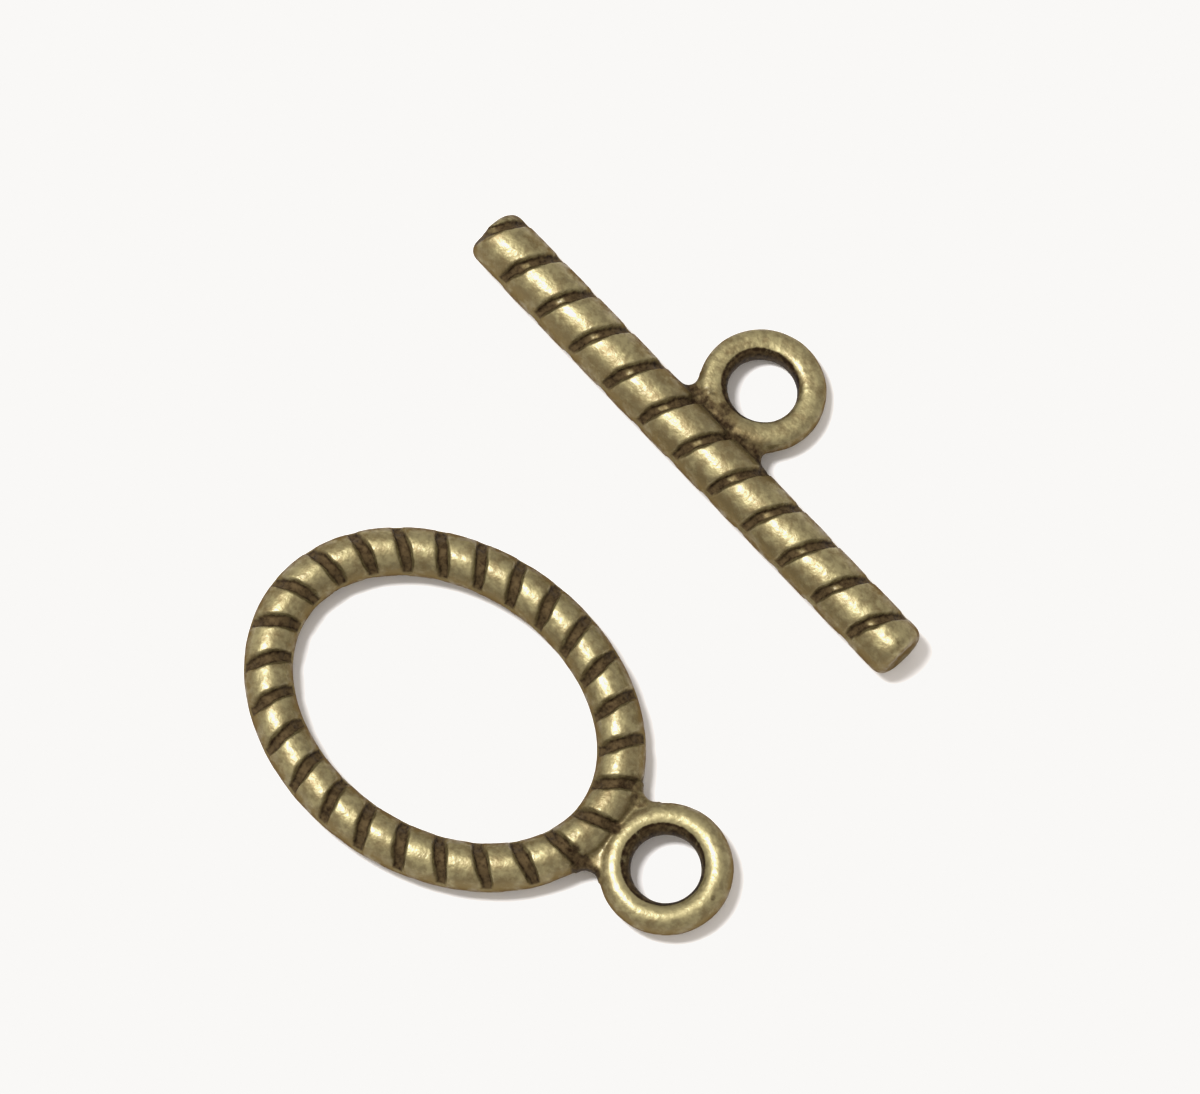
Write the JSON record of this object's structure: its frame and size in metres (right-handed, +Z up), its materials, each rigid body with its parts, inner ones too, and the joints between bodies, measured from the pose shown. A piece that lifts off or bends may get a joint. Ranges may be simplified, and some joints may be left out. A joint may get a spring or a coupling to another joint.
{
  "type": "toggle clasp",
  "caption": "Two-piece jewellery toggle clasp: an oval ring and a bar, each cast with its own loop and slanted rope grooves, in an antique bronze finish.",
  "frame": {"origin": "on the surface the pair lies on, under the middle of the pair's footprint", "axes": "+X along the oval ring's long axis to its loop, +Y from the ring to the bar, +Z up from the surface"},
  "size_m": [0.0203, 0.023, 0.0021],
  "materials": {
    "antique_bronze": "dark patina in the grooves, rubbed bright on the high spots"
  },
  "bodies": {
    "root": {"oval_ring": "antique_bronze", "toggle_bar": "antique_bronze"}
  },
  "joints": []
}
